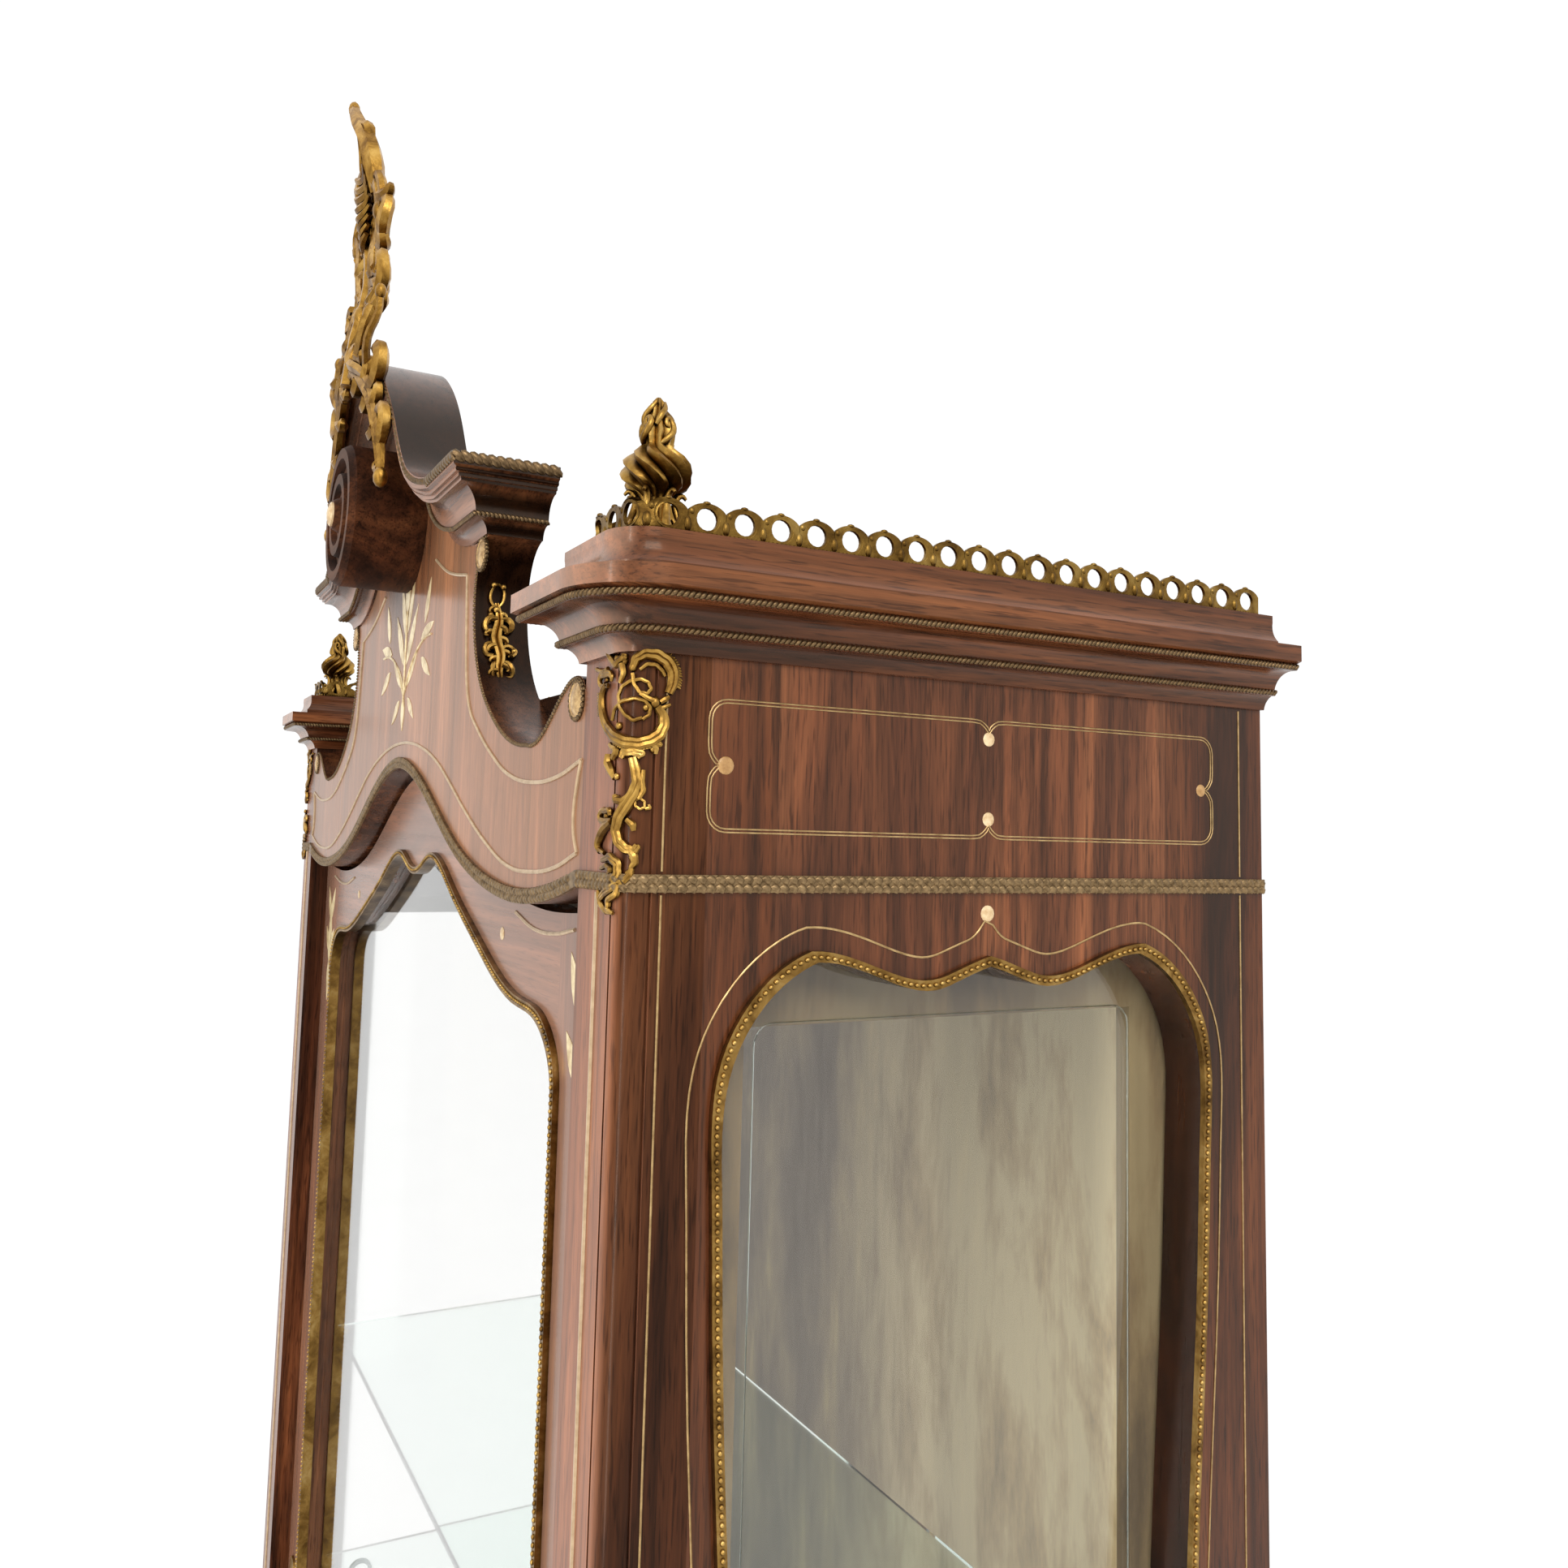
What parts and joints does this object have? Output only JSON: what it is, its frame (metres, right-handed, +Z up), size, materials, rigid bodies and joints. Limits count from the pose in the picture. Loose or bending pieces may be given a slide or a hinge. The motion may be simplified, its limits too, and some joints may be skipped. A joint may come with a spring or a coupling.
{
  "type": "display cabinet",
  "caption": "Tall glazed display cabinet with one hinged glass door, glazed sides, glass shelves, a bonnet pediment with gilt crest, and a lock whose key slides a bolt.",
  "frame": {"origin": "centre of the bounding box on the floor", "axes": "+X to the viewer's right, +Y to the back, +Z up"},
  "size_m": [1.147, 0.523, 2.273],
  "materials": {
    "rosewood": "french-polished figured veneer",
    "carcass_wood": "stained solid wood, satin",
    "gilt_bronze": "gilt bronze with dark patina in the hollows",
    "brass_fittings": "turned brass",
    "lock_steel": "filed steel",
    "clear_glass": "bevelled plate glass",
    "silk_lining": "streaked gold silk"
  },
  "bodies": {
    "cabinet": {"back_lining": "silk_lining", "back_panel": "carcass_wood", "boss": "rosewood", "bottom_board": "carcass_wood", "corner_mount_left": "gilt_bronze", "corner_mount_right": "gilt_bronze", "crest": "gilt_bronze", "display_floor": "silk_lining", "finial_left": "gilt_bronze", "finial_right": "gilt_bronze", "foot_sabots": "gilt_bronze", "front_board": "rosewood", "front_foot_left": "rosewood", "front_foot_right": "rosewood", "front_post_left": "rosewood", "front_post_right": "rosewood", "gallery_left": "gilt_bronze", "gallery_right": "gilt_bronze", "glazing_strips": "carcass_wood", "hood": "rosewood", "metal_bands": "gilt_bronze", "pediment_trim": "gilt_bronze", "pivot_pins": "brass_fittings", "plinth": "rosewood", "rear_foot_left": "carcass_wood", "rear_foot_right": "carcass_wood", "shelf_lower": "clear_glass", "shelf_pins": "brass_fittings", "shelf_upper": "clear_glass", "side_cornice_left": "rosewood", "side_cornice_right": "rosewood", "side_front_stile_left": "rosewood", "side_front_stile_right": "rosewood", "side_glass_left": "clear_glass", "side_glass_right": "clear_glass", "side_lower_panel_left": "rosewood", "side_lower_panel_right": "rosewood", "side_rear_stile_left": "rosewood", "side_rear_stile_right": "rosewood", "side_top_rail_left": "rosewood", "side_top_rail_right": "rosewood", "strike_plate": "brass_fittings", "top_board": "carcass_wood", "window_moulding_left": "gilt_bronze", "window_moulding_right": "gilt_bronze"},
    "door": {"door_beads": "carcass_wood", "door_bottom_rail": "rosewood", "door_glass": "clear_glass", "door_mid_rail": "rosewood", "door_moulding": "gilt_bronze", "door_panel": "rosewood", "door_stile_left": "rosewood", "door_stile_right": "rosewood", "door_top_rail": "rosewood", "escutcheon": "gilt_bronze", "lock_case": "lock_steel", "pivot_bushes": "brass_fittings"},
    "bolt": {"lock_bolt": "lock_steel"},
    "key": {"key": "lock_steel"}
  },
  "joints": [
    {"name": "door_hinge", "type": "hinge", "parent": "cabinet", "child": "door", "pos_m": [0.4617, -0.1665, 0.9], "axis": [0, 0, 1], "range_deg": [0, 95]},
    {"name": "key_turn", "type": "hinge", "parent": "door", "child": "key", "pos_m": [-0.4347, -0.17, 0.785], "axis": [0, 1, 0], "range_deg": [0, 100]},
    {"name": "bolt_slide", "type": "slide", "parent": "door", "child": "bolt", "axis": [-1, 0, 0], "range_m": [0, 0.009]}
  ],
  "couplings": [
    {"joint": "key_turn", "follows": "bolt_slide", "rad_per_m": 174.4}
  ]
}
